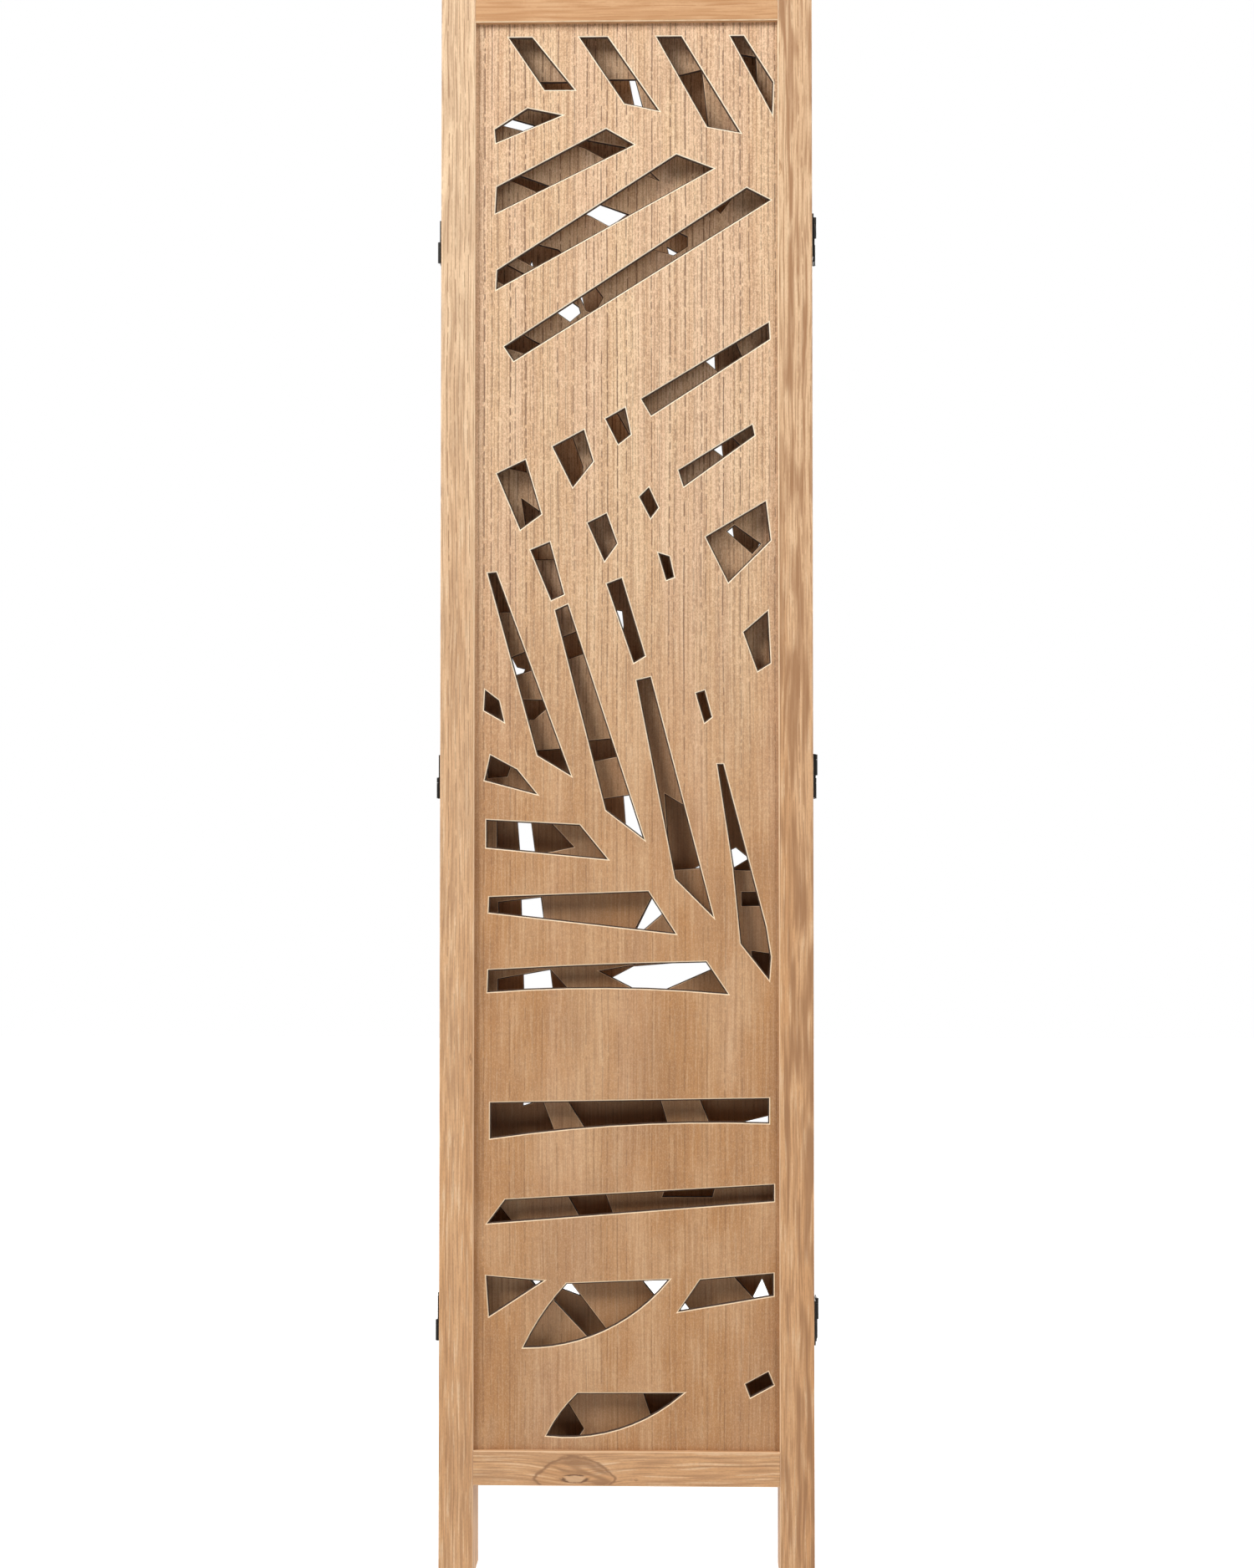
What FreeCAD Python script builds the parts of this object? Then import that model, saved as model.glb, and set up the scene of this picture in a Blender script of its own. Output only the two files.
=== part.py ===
import FreeCAD, Part
import os
import Sketcher
from FreeCAD import Rotation, Vector

os.makedirs("parts", exist_ok=True)
document = FreeCAD.newDocument("room_divider")

# A folding room divider of three pierced wooden leaves, shown folded flat.
# Millimetres. X runs across the leaves, Y from the front leaf to the back one,
# Z up from the floor. The origin is on the floor under the middle of the stack.

# Sizes of the wooden leaves and of the two-way hinges.
SIZES = {
    "leaf_width": 400.0,
    "leaf_height": 1705.0,
    "leaf_thickness": 20.0,
    "fold_gap": 1.5,
    "stile_width": 37.0,
    "rail_width": 37.0,
    "leg_length": 97.0,
    "edge_round": 1.5,
    "tenon_length": 20.0,
    "tenon_width": 21.0,
    "tenon_thickness": 8.0,
    "joint_clearance": 0.1,
    "groove_depth": 6.0,
    "groove_clearance": 0.1,
    "infill_thickness": 5.0,
    "infill_end_play": 0.5,
    "hinge_height": 47.0,
    "hinge_inset": 270.0,
    "hinge_middle_gap": 2.4,
    "plate_thickness": 1.6,
    "plate_clearance": 0.4,
    "link_clearance": 0.6,
    "knuckle_radius": 2.6,
    "knuckle_short": 5.4,
    "knuckle_gap": 0.3,
    "tongue_thickness": 1.2,
    "pin_radius": 1.3,
    "pin_fit": 0.05,
    "pin_proud": 0.4,
}

# Slots of the front leaf: corners as shares of the opening's width and height,
# from its lower left corner. A corner marked "via" is the middle of an arc.
FRONT_SLOT_SHARES = [
    [(0.115, 0.990), (0.185, 0.990), (0.320, 0.954), (0.230, 0.954)],
    [(0.350, 0.990), (0.435, 0.990), (0.600, 0.939), (0.495, 0.944)],
    [(0.605, 0.990), (0.680, 0.990), (0.870, 0.923), (0.770, 0.927)],
    [(0.850, 0.990), (0.887, 0.990), (0.983, 0.9575), (0.980, 0.938)],
    [(0.066, 0.925), (0.172, 0.9395), (0.273, 0.935), (0.069, 0.917)],
    [(0.072, 0.884), (0.432, 0.9245), (0.517, 0.914), (0.068, 0.867)],
    [(0.074, 0.825), (0.666, 0.906), (0.780, 0.8965), (0.071, 0.813)],
    [(0.099, 0.771), (0.898, 0.882), (0.970, 0.874), (0.127, 0.762)],
    [(0.554, 0.7335), (0.967, 0.786), (0.970, 0.776), (0.583, 0.723)],
    [(0.676, 0.683), (0.913, 0.714), (0.919, 0.708), (0.691, 0.673)],
    [(0.435, 0.7195), (0.493, 0.7265), (0.510, 0.709), (0.474, 0.703)],
    [(0.260, 0.700), (0.357, 0.711), (0.386, 0.690), (0.323, 0.673)],
    [(0.075, 0.681), (0.163, 0.690), (0.214, 0.653), (0.150, 0.643)],
    [(0.547, 0.6645), (0.573, 0.670), (0.601, 0.657), (0.580, 0.651)],
    [(0.376, 0.646), (0.432, 0.652), (0.465, 0.632), (0.428, 0.621)],
    [(0.187, 0.627), (0.244, 0.632), (0.289, 0.5965), (0.253, 0.593)],
    [(0.610, 0.624), (0.639, 0.622), (0.653, 0.6085), (0.634, 0.607)],
    [(0.766, 0.636), (0.957, 0.660), (0.972, 0.634), (0.837, 0.6055)],
    [(0.890, 0.569), (0.963, 0.5825), (0.971, 0.548), (0.934, 0.543)],
    [(0.045, 0.6105), (0.067, 0.611), (0.310, 0.4705), (0.209, 0.4835)],
    [(0.036, 0.5275), (0.076, 0.521), (0.090, 0.508), (0.033, 0.515)],
    [(0.053, 0.482), (0.136, 0.4725), (0.195, 0.457), (0.036, 0.466)],
    [(0.268, 0.5845), (0.304, 0.588), (0.552, 0.426), (0.435, 0.445)],
    [(0.439, 0.603), (0.482, 0.6065), (0.557, 0.553), (0.526, 0.549)],
    [(0.537, 0.535), (0.577, 0.537), (0.779, 0.3725), (0.664, 0.397)],
    [(0.733, 0.526), (0.755, 0.5275), (0.777, 0.510), (0.759, 0.507)],
    [(0.803, 0.476), (0.816, 0.476), (0.955, 0.363), (0.971, 0.342), (0.966, 0.328),
     (0.879, 0.3515), (0.854, 0.405)],
    [(0.041, 0.437), (0.344, 0.4335), (0.430, 0.411), (0.041, 0.419)],
    [(0.051, 0.383), (0.570, 0.387), (0.655, 0.359), (0.049, 0.3735)],
    [(0.048, 0.332), (0.427, 0.336, "via"), (0.761, 0.338), (0.827, 0.317),
     (0.430, 0.321, "via"), (0.046, 0.318)],
    [(0.055, 0.2395), (0.964, 0.243), (0.964, 0.227), (0.480, 0.2255, "via"), (0.055, 0.216)],
    [(0.103, 0.172), (0.980, 0.183), (0.980, 0.173), (0.050, 0.157)],
    [(0.043, 0.119), (0.218, 0.116), (0.052, 0.093)],
    [(0.305, 0.114), (0.633, 0.117), (0.450, 0.0855, "via"), (0.167, 0.071),
     (0.225, 0.0925, "via")],
    [(0.743, 0.117), (0.978, 0.1215), (0.978, 0.1075), (0.677, 0.0965)],
    [(0.893, 0.0453), (0.962, 0.0532), (0.977, 0.0455), (0.907, 0.0375)],
    [(0.341, 0.038), (0.677, 0.0385), (0.463, 0.014, "via"), (0.243, 0.010),
     (0.290, 0.026, "via")],
]

# Slots of the middle leaf, in the same shares, with the stack folded.
MIDDLE_SLOT_SHARES = [
    [(0.080, 0.963), (0.360, 0.963), (0.330, 0.947), (0.140, 0.945)],
    [(0.400, 0.9645), (0.527, 0.9645), (0.560, 0.938), (0.500, 0.930), (0.450, 0.945)],
    [(0.660, 0.9665), (0.749, 0.971), (0.775, 0.920), (0.710, 0.912)],
    [(0.863, 0.9825), (0.929, 0.980), (0.938, 0.945), (0.925, 0.930), (0.875, 0.938)],
    [(0.055, 0.9395), (0.113, 0.937), (0.371, 0.921), (0.491, 0.916), (0.602, 0.893),
     (0.424, 0.9085), (0.357, 0.9165), (0.167, 0.928), (0.060, 0.934)],
    [(0.070, 0.902), (0.144, 0.896), (0.410, 0.875), (0.669, 0.855), (0.700, 0.852),
     (0.700, 0.845), (0.655, 0.839), (0.575, 0.844), (0.382, 0.867), (0.116, 0.893),
     (0.075, 0.895)],
    [(0.050, 0.858), (0.213, 0.846), (0.269, 0.843), (0.390, 0.817), (0.418, 0.809),
     (0.390, 0.798), (0.364, 0.800), (0.342, 0.810), (0.200, 0.830), (0.055, 0.847)],
    [(0.050, 0.838), (0.205, 0.820), (0.310, 0.8065), (0.338, 0.802), (0.343, 0.798),
     (0.309, 0.792), (0.263, 0.799), (0.060, 0.822)],
    [(0.045, 0.797), (0.182, 0.7785), (0.205, 0.776), (0.164, 0.769), (0.050, 0.777)],
    [(0.960, 0.930), (0.975, 0.915), (0.812, 0.869), (0.785, 0.875)],
    [(0.745, 0.7663), (0.780, 0.790), (0.838, 0.7885), (0.890, 0.7615), (0.815, 0.7538)],
    [(0.755, 0.735), (0.790, 0.7495), (0.900, 0.727), (0.870, 0.716)],
    [(0.760, 0.7048), (0.790, 0.7215), (0.830, 0.7129), (0.900, 0.6976), (0.880, 0.686)],
    [(0.400, 0.742), (0.470, 0.725), (0.612, 0.670), (0.680, 0.605), (0.625, 0.598),
     (0.525, 0.648), (0.415, 0.700)],
    [(0.235, 0.725), (0.300, 0.720), (0.352, 0.688), (0.345, 0.662), (0.255, 0.672)],
    [(0.060, 0.712), (0.150, 0.700), (0.163, 0.685), (0.100, 0.688)],
    [(0.700, 0.560), (0.745, 0.555), (0.800, 0.495), (0.760, 0.488)],
    [(0.150, 0.665), (0.250, 0.650), (0.268, 0.6225), (0.180, 0.6225)],
    [(0.834, 0.642), (0.858, 0.646), (0.943, 0.633), (0.917, 0.6266)],
    [(0.030, 0.640), (0.080, 0.632), (0.120, 0.5855), (0.045, 0.5855)],
    [(0.085, 0.550), (0.345, 0.572), (0.400, 0.571), (0.360, 0.556), (0.100, 0.5385)],
    [(0.420, 0.611), (0.490, 0.612), (0.575, 0.552), (0.550, 0.540), (0.450, 0.566)],
    [(0.025, 0.531), (0.100, 0.523), (0.260, 0.522), (0.190, 0.5095), (0.030, 0.506)],
    [(0.165, 0.486), (0.300, 0.488), (0.345, 0.466), (0.200, 0.464)],
    [(0.035, 0.493), (0.120, 0.483), (0.100, 0.469), (0.040, 0.468)],
    [(0.350, 0.493), (0.500, 0.496), (0.540, 0.486), (0.370, 0.479)],
    [(0.415, 0.452), (0.560, 0.457), (0.590, 0.425), (0.470, 0.418)],
    [(0.6277, 0.4555), (0.6915, 0.4473), (0.765, 0.412), (0.765, 0.4045), (0.645, 0.403)],
    [(0.780, 0.485), (0.850, 0.482), (0.925, 0.4025), (0.845, 0.4032), (0.815, 0.420)],
    [(0.8825, 0.3866), (0.970, 0.3868), (0.978, 0.3778), (0.8825, 0.3778)],
    [(0.915, 0.345), (0.985, 0.343), (0.985, 0.312), (0.930, 0.318)],
    [(0.069, 0.446), (0.200, 0.446), (0.3194, 0.419), (0.2527, 0.416), (0.069, 0.411)],
    [(0.075, 0.3795), (0.214, 0.383), (0.223, 0.367), (0.075, 0.3675)],
    [(0.522, 0.358), (0.588, 0.385), (0.655, 0.3788), (0.548, 0.3593)],
    [(0.0726, 0.3253), (0.245, 0.332), (0.310, 0.3168), (0.200, 0.312), (0.0726, 0.3135)],
    [(0.413, 0.3312), (0.520, 0.3352), (0.640, 0.346), (0.800, 0.346), (0.860, 0.3403),
     (0.620, 0.3179), (0.535, 0.3179)],
    [(0.040, 0.256), (0.190, 0.256), (0.270, 0.212), (0.050, 0.208)],
    [(0.265, 0.254), (0.590, 0.254), (0.650, 0.212), (0.390, 0.212)],
    [(0.715, 0.256), (0.970, 0.258), (0.975, 0.218), (0.800, 0.212)],
    [(0.030, 0.170), (0.065, 0.169), (0.118, 0.155), (0.035, 0.148)],
    [(0.290, 0.180), (0.415, 0.182), (0.460, 0.156), (0.365, 0.152)],
    [(0.620, 0.1735), (0.780, 0.1735), (0.815, 0.200), (0.670, 0.200)],
    [(0.262, 0.100), (0.275, 0.1145), (0.305, 0.115), (0.440, 0.0775), (0.385, 0.0724)],
    [(0.535, 0.119), (0.650, 0.119), (0.632, 0.100), (0.610, 0.0997)],
    [(0.150, 0.122), (0.235, 0.1225), (0.240, 0.1045), (0.225, 0.1043)],
    [(0.845, 0.120), (0.985, 0.123), (0.980, 0.098), (0.940, 0.098)],
    [(0.658, 0.1045), (0.672, 0.104), (0.7145, 0.092), (0.690, 0.088), (0.655, 0.090)],
    [(0.875, 0.060), (0.985, 0.058), (0.985, 0.035), (0.880, 0.034)],
    [(0.270, 0.032), (0.300, 0.030), (0.355, 0.011), (0.340, 0.006), (0.230, 0.006)],
    [(0.550, 0.040), (0.690, 0.040), (0.610, 0.021), (0.580, 0.021)],
]

# Slots of the back leaf, in the same shares, with the stack folded.
BACK_SLOT_SHARES = [
    [(0.265, 0.990), (0.365, 0.990), (0.425, 0.950), (0.370, 0.935)],
    [(0.488, 0.988), (0.585, 0.988), (0.645, 0.930), (0.560, 0.912)],
    [(0.790, 0.988), (0.850, 0.988), (0.905, 0.930), (0.850, 0.905)],
    [(0.945, 0.958), (0.985, 0.945), (0.985, 0.880), (0.945, 0.895)],
    [(0.035, 0.932), (0.160, 0.953), (0.330, 0.947), (0.120, 0.918), (0.040, 0.916)],
    [(0.040, 0.868), (0.230, 0.884), (0.250, 0.866), (0.060, 0.852)],
    [(0.270, 0.862), (0.510, 0.905), (0.585, 0.886), (0.330, 0.846)],
    [(0.215, 0.802), (0.335, 0.826), (0.352, 0.8065), (0.352, 0.8015), (0.310, 0.783),
     (0.235, 0.780)],
    [(0.045, 0.806), (0.105, 0.811), (0.120, 0.793), (0.050, 0.786)],
    [(0.150, 0.798), (0.1585, 0.8275), (0.1764, 0.8385), (0.190, 0.827), (0.187, 0.800)],
    [(0.420, 0.838), (0.590, 0.842), (0.570, 0.815), (0.450, 0.800)],
    [(0.634, 0.848), (0.672, 0.8435), (0.750, 0.800), (0.700, 0.795)],
    [(0.630, 0.900), (0.770, 0.926), (0.790, 0.905), (0.670, 0.880)],
    [(0.720, 0.850), (0.960, 0.872), (0.965, 0.845), (0.780, 0.832)],
    [(0.735, 0.782), (0.790, 0.784), (0.793, 0.764), (0.8176, 0.702), (0.856, 0.640),
     (0.830, 0.630), (0.785, 0.660), (0.745, 0.730)],
    [(0.936, 0.6325), (0.955, 0.639), (0.985, 0.622), (0.975, 0.596), (0.940, 0.600)],
    [(0.540, 0.775), (0.600, 0.778), (0.700, 0.700), (0.735, 0.640), (0.690, 0.632)],
    [(0.430, 0.772), (0.490, 0.778), (0.590, 0.712), (0.580, 0.688), (0.535, 0.700)],
    [(0.290, 0.765), (0.355, 0.768), (0.415, 0.715), (0.435, 0.650), (0.390, 0.640)],
    [(0.080, 0.755), (0.165, 0.760), (0.240, 0.690), (0.235, 0.672), (0.190, 0.695)],
    [(0.130, 0.638), (0.170, 0.632), (0.265, 0.580), (0.255, 0.560), (0.190, 0.575)],
    [(0.285, 0.660), (0.335, 0.655), (0.400, 0.610), (0.395, 0.580), (0.330, 0.600)],
    [(0.425, 0.589), (0.481, 0.587), (0.486, 0.577), (0.475, 0.530), (0.440, 0.520)],
    [(0.035, 0.575), (0.100, 0.558), (0.128, 0.547), (0.155, 0.5455), (0.140, 0.5385),
     (0.035, 0.542)],
    [(0.310, 0.545), (0.385, 0.548), (0.420, 0.508), (0.355, 0.505)],
    [(0.235, 0.538), (0.265, 0.536), (0.315, 0.502), (0.270, 0.499)],
    [(0.740, 0.620), (0.790, 0.610), (0.850, 0.545), (0.810, 0.540)],
    [(0.880, 0.590), (0.975, 0.575), (0.980, 0.535), (0.930, 0.530)],
    [(0.610, 0.545), (0.680, 0.548), (0.712, 0.490), (0.650, 0.475)],
    [(0.820, 0.520), (0.900, 0.525), (0.960, 0.450), (0.900, 0.440)],
    [(0.110, 0.495), (0.138, 0.498), (0.190, 0.416), (0.2485, 0.3186), (0.275, 0.262),
     (0.182, 0.2372), (0.152, 0.2352), (0.1535, 0.3185), (0.1395, 0.416)],
    [(0.478, 0.480), (0.565, 0.478), (0.598, 0.425), (0.590, 0.400), (0.505, 0.398),
     (0.495, 0.434)],
    [(0.526, 0.358), (0.582, 0.382), (0.625, 0.3885), (0.660, 0.3795), (0.555, 0.3598)],
    [(0.705, 0.4015), (0.862, 0.4182), (0.9053, 0.4107), (0.730, 0.388)],
    [(0.410, 0.3215), (0.520, 0.3338), (0.790, 0.3385), (0.885, 0.3405), (0.570, 0.309),
     (0.450, 0.309)],
    [(0.250, 0.395), (0.370, 0.412), (0.430, 0.404), (0.290, 0.378)],
    [(0.290, 0.352), (0.420, 0.370), (0.465, 0.355), (0.330, 0.335)],
    [(0.045, 0.298), (0.112, 0.303), (0.112, 0.262), (0.050, 0.258)],
    [(0.310, 0.272), (0.560, 0.297), (0.680, 0.290), (0.400, 0.258)],
    [(0.600, 0.262), (0.900, 0.292), (0.975, 0.280), (0.780, 0.255)],
    [(0.060, 0.185), (0.360, 0.207), (0.450, 0.202), (0.200, 0.182)],
    [(0.380, 0.185), (0.620, 0.206), (0.690, 0.198), (0.480, 0.180)],
    [(0.700, 0.214), (0.970, 0.2282), (0.978, 0.206), (0.860, 0.196)],
    [(0.100, 0.130), (0.290, 0.150), (0.380, 0.146), (0.230, 0.130)],
    [(0.420, 0.140), (0.700, 0.160), (0.800, 0.152), (0.560, 0.138)],
    [(0.780, 0.135), (0.950, 0.160), (0.985, 0.145), (0.880, 0.132)],
    [(0.050, 0.110), (0.110, 0.106), (0.180, 0.080), (0.060, 0.082)],
    [(0.150, 0.1205), (0.225, 0.1215), (0.238, 0.0995), (0.222, 0.101)],
    [(0.262, 0.1075), (0.275, 0.125), (0.350, 0.127), (0.390, 0.0975)],
    [(0.490, 0.124), (0.640, 0.127), (0.690, 0.112), (0.600, 0.095), (0.550, 0.106)],
    [(0.665, 0.099), (0.735, 0.0985), (0.830, 0.082), (0.700, 0.078)],
    [(0.9477, 0.1133), (0.983, 0.0955), (0.980, 0.072), (0.860, 0.070), (0.880, 0.0844)],
    [(0.050, 0.046), (0.220, 0.070), (0.245, 0.052), (0.100, 0.036)],
    [(0.330, 0.050), (0.560, 0.075), (0.660, 0.070), (0.420, 0.045)],
    [(0.390, 0.012), (0.500, 0.030), (0.545, 0.022), (0.470, 0.008)],
    [(0.720, 0.012), (0.900, 0.030), (0.985, 0.022), (0.860, 0.008)],
]

# The leaves from front to back: their slots and their place in the stack.
LEAVES = {
    "leaf_1": {"slots": FRONT_SLOT_SHARES, "step": -1},
    "leaf_2": {"slots": MIDDLE_SLOT_SHARES, "step": 0},
    "leaf_3": {"slots": BACK_SLOT_SHARES, "step": 1},
}

# The right seam joins leaves 1 and 2, the left seam joins leaves 2 and 3.
# Each seam is the other one turned half round the middle of the stack.
SEAMS = {
    "right": {"outer_leaf": "leaf_1", "side": 1},
    "left": {"outer_leaf": "leaf_3", "side": -1},
}
LEVELS = ("bottom", "middle", "top")


def fill_sheet():
    """Write the driving sizes into a sheet, one named cell each."""
    cells = document.addObject("Spreadsheet::Sheet", "Sizes")
    for row, (name, value) in enumerate(SIZES.items(), start=1):
        cells.set(f"A{row}", name)
        cells.set(f"B{row}", str(value))
        cells.setAlias(f"B{row}", name)
    document.recompute()
    return cells


sheet = fill_sheet()


def size(name):
    """A driving size, read back from its cell."""
    return float(sheet.get(name))


# Sizes that follow from the driving ones, written as formulas on the cells.
PITCH = "(Sizes.leaf_thickness + Sizes.fold_gap)"
OPENING_WIDTH = "(Sizes.leaf_width - 2 * Sizes.stile_width)"
OPENING_LOW = "(Sizes.leg_length + Sizes.rail_width)"
OPENING_HIGH = "(Sizes.leaf_height - Sizes.rail_width)"
GROOVE_WIDTH = "(Sizes.infill_thickness + 2 * Sizes.groove_clearance)"
INFILL_GRIP = "(Sizes.groove_depth - Sizes.infill_end_play)"
PIN_OFFSET = "(Sizes.plate_thickness + Sizes.link_clearance + Sizes.plate_thickness / 2)"
PIN_X = f"(Sizes.leaf_width / 2 + {PIN_OFFSET})"
PLATE_START = "(Sizes.knuckle_radius + Sizes.plate_clearance)"
PLATE_REACH = f"({PITCH} - Sizes.knuckle_radius - 2 * Sizes.plate_clearance)"
BORE_RADIUS = "(Sizes.pin_radius + Sizes.pin_fit)"
HALF_HEIGHT = "((Sizes.hinge_height - Sizes.hinge_middle_gap) / 2)"
KNUCKLE_LONG = f"({HALF_HEIGHT} - Sizes.knuckle_short - Sizes.knuckle_gap)"
UPPER_FOOT = "(Sizes.hinge_middle_gap / 2)"
LOWER_FOOT = "(-Sizes.hinge_height / 2)"


def bind(thing, **formulas):
    """Tie properties of an object to formulas on the cells."""
    for name, formula in formulas.items():
        thing.setExpression(name, formula)
    return thing


def put(thing, x="0", y="0", z="0", turn=None):
    """Place an object by formulas, turned by an axis and an angle if asked."""
    if turn:
        thing.Placement.Rotation = Rotation(*turn)
    thing.setExpression("Placement.Base.x", x)
    thing.setExpression("Placement.Base.y", y)
    thing.setExpression("Placement.Base.z", z)
    return thing


def value_of(formula):
    """The number that a formula on the cells gives now."""
    return float(sheet.evalExpression(formula))


def new_body(label):
    body = document.addObject("PartDesign::Body", label)
    body.Label = label
    return body


def new_sketch(body, plane, name):
    """A sketch on one of the body's own origin planes."""
    sketch = body.newObject("Sketcher::SketchObject", name)
    features = body.Origin.OriginFeatures
    sketch.AttachmentSupport = [next(f for f in features if f.Role == plane)]
    sketch.MapMode = "FlatFace"
    return sketch


def add_rectangle(sketch, left, low, width, height, name="box"):
    """A rectangle whose corner and sides are bound to formulas."""
    x, y, w, h = (value_of(formula) for formula in (left, low, width, height))
    corners = [Vector(x, y), Vector(x + w, y), Vector(x + w, y + h), Vector(x, y + h)]
    first = sketch.GeometryCount
    for start, end in zip(corners, corners[1:] + corners[:1]):
        sketch.addGeometry(Part.LineSegment(start, end), False)
    for side in range(4):
        follower = first + (side + 1) % 4
        sketch.addConstraint(Sketcher.Constraint("Coincident", first + side, 2, follower, 1))
    sketch.addConstraint(Sketcher.Constraint("Horizontal", first))
    sketch.addConstraint(Sketcher.Constraint("Vertical", first + 1))
    sketch.addConstraint(Sketcher.Constraint("Horizontal", first + 2))
    sketch.addConstraint(Sketcher.Constraint("Vertical", first + 3))
    bound = (
        ("left", ("DistanceX", -1, 1, first, 1, x), left),
        ("low", ("DistanceY", -1, 1, first, 1, y), low),
        ("width", ("DistanceX", first, 1, first, 2, w), width),
        ("height", ("DistanceY", first + 1, 1, first + 1, 2, h), height),
    )
    for part, rule, formula in bound:
        index = sketch.addConstraint(Sketcher.Constraint(*rule))
        sketch.renameConstraint(index, f"{name}_{part}")
        sketch.setExpression(f"Constraints.{name}_{part}", formula)


def add_pad(body, sketch, name, length, both_ways=False):
    pad = body.newObject("PartDesign::Pad", name)
    pad.Profile = sketch
    pad.Midplane = both_ways
    pad.setExpression("Length", length)
    document.recompute()
    return pad


def add_pocket(body, sketch, name, depth):
    """Cut to a depth. A cut that removes nothing is an error."""
    before = body.Shape.Volume
    pocket = body.newObject("PartDesign::Pocket", name)
    pocket.Profile = sketch
    pocket.setExpression("Length", depth)
    document.recompute()
    if body.Shape.Volume >= before:
        raise RuntimeError(f"{name} of {body.Label} cuts nothing")
    return pocket


def round_edges(body, feature, chosen):
    """Round the feature's edges for which the test is true."""
    names = [
        f"Edge{number}"
        for number, edge in enumerate(feature.Shape.Edges, start=1)
        if chosen(edge)
    ]
    fillet = body.newObject("PartDesign::Fillet", "rounded_edges")
    fillet.Base = (feature, names)
    fillet.setExpression("Radius", "Sizes.edge_round")
    document.recompute()
    return fillet


def leaf_y(leaf):
    """A leaf's middle plane, as a formula."""
    return f"({LEAVES[leaf]['step']} * {PITCH})"


def make_stile(leaf, side, name):
    """An upright, leg included: grooved for the infill, mortised for the rails.

    It is drawn with its inner edge on the YZ plane and its wood towards -X.
    """
    body = new_body(f"{leaf}_{name}")
    outline = new_sketch(body, "XY_Plane", "section")
    add_rectangle(
        outline,
        "-Sizes.stile_width",
        "-Sizes.leaf_thickness / 2",
        "Sizes.stile_width",
        "Sizes.leaf_thickness",
    )
    upright = add_pad(body, outline, "upright", "Sizes.leaf_height")
    outer = -size("stile_width")
    round_edges(
        body,
        upright,
        lambda edge: all(abs(v.X - outer) < size("joint_clearance") for v in edge.Vertexes)
        and edge.Length > size("leaf_width"),
    )
    groove = new_sketch(body, "YZ_Plane", "groove_outline")
    add_rectangle(
        groove,
        f"-{GROOVE_WIDTH} / 2",
        f"{OPENING_LOW} - Sizes.groove_depth",
        GROOVE_WIDTH,
        f"{OPENING_HIGH} - {OPENING_LOW} + 2 * Sizes.groove_depth",
    )
    add_pocket(body, groove, "infill_groove", "Sizes.groove_depth")
    mortises = new_sketch(body, "YZ_Plane", "mortise_outlines")
    mortise_width = "(Sizes.tenon_thickness + 2 * Sizes.joint_clearance)"
    mortise_height = "(Sizes.tenon_width + 2 * Sizes.joint_clearance)"
    for rail, middle in rail_middles().items():
        add_rectangle(
            mortises,
            f"-{mortise_width} / 2",
            f"{middle} - {mortise_height} / 2",
            mortise_width,
            mortise_height,
            name=rail,
        )
    mortise_depth = "Sizes.tenon_length + Sizes.joint_clearance"
    add_pocket(body, mortises, "mortises", mortise_depth)
    turn = None if side < 0 else (Vector(0, 0, 1), 180)
    put(body, x=f"{side} * {OPENING_WIDTH} / 2", y=leaf_y(leaf), turn=turn)
    return body


def rail_middles():
    """Height of each rail's middle line."""
    return {
        "bottom_rail": "(Sizes.leg_length + Sizes.rail_width / 2)",
        "top_rail": "(Sizes.leaf_height - Sizes.rail_width / 2)",
    }


def make_rail(leaf, name):
    """A cross rail with a stub tenon at each end and a groove along its inner edge.

    It is drawn as the bottom rail, with its grooved edge on the XY plane. The
    top rail is the same piece turned over.
    """
    body = new_body(f"{leaf}_{name}")
    section = new_sketch(body, "YZ_Plane", "section")
    add_rectangle(
        section,
        "-Sizes.leaf_thickness / 2",
        "-Sizes.rail_width",
        "Sizes.leaf_thickness",
        "Sizes.rail_width",
    )
    add_pad(body, section, "bar", OPENING_WIDTH, both_ways=True)
    tenon = new_sketch(body, "YZ_Plane", "tenon_section")
    add_rectangle(
        tenon,
        "-Sizes.tenon_thickness / 2",
        "-(Sizes.rail_width + Sizes.tenon_width) / 2",
        "Sizes.tenon_thickness",
        "Sizes.tenon_width",
    )
    tenons = f"{OPENING_WIDTH} + 2 * Sizes.tenon_length"
    add_pad(body, tenon, "tenons", tenons, both_ways=True)
    groove = new_sketch(body, "XY_Plane", "groove_outline")
    add_rectangle(
        groove,
        f"-{OPENING_WIDTH} / 2",
        f"-{GROOVE_WIDTH} / 2",
        OPENING_WIDTH,
        GROOVE_WIDTH,
    )
    add_pocket(body, groove, "infill_groove", "Sizes.groove_depth")
    if name == "top_rail":
        put(body, y=leaf_y(leaf), z=OPENING_HIGH, turn=(Vector(1, 0, 0), 180))
    else:
        put(body, y=leaf_y(leaf), z=OPENING_LOW)
    return body


def slot_corner(share, low_z):
    """A corner's place in the infill's sketch."""
    width = size("leaf_width") - 2 * size("stile_width")
    height = size("leaf_height") - size("rail_width") - low_z
    return Vector((share[0] - 0.5) * width, low_z + share[1] * height)


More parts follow.
